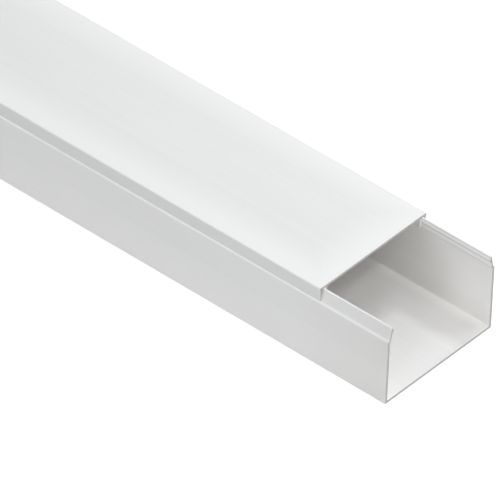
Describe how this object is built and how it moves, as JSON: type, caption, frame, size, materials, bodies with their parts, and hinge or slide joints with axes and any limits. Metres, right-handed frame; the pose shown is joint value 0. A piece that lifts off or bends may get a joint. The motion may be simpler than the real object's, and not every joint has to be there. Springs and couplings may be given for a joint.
{
  "type": "cable trunking",
  "caption": "Length of white rigid PVC cable trunking: a U-shaped base channel with inward-leaning beaded lips, and a flat clip-on lid that slides along it.",
  "frame": {"origin": "middle of the base channel's flat back face, halfway along its length", "axes": "+X along the trunking to the end where the lid is slid back, +Z from the back face up to the lid"},
  "size_m": [1.055, 0.1, 0.06],
  "materials": {
    "channel_pvc": "satin",
    "lid_pvc": "satin"
  },
  "bodies": {
    "channel": {"base_channel": "channel_pvc"},
    "lid": {"snap_lid": "lid_pvc"}
  },
  "joints": [
    {"name": "lid_slide", "type": "slide", "parent": "channel", "child": "lid", "axis": [1, 0, 0], "range_m": [-0.2, 0.055]}
  ]
}
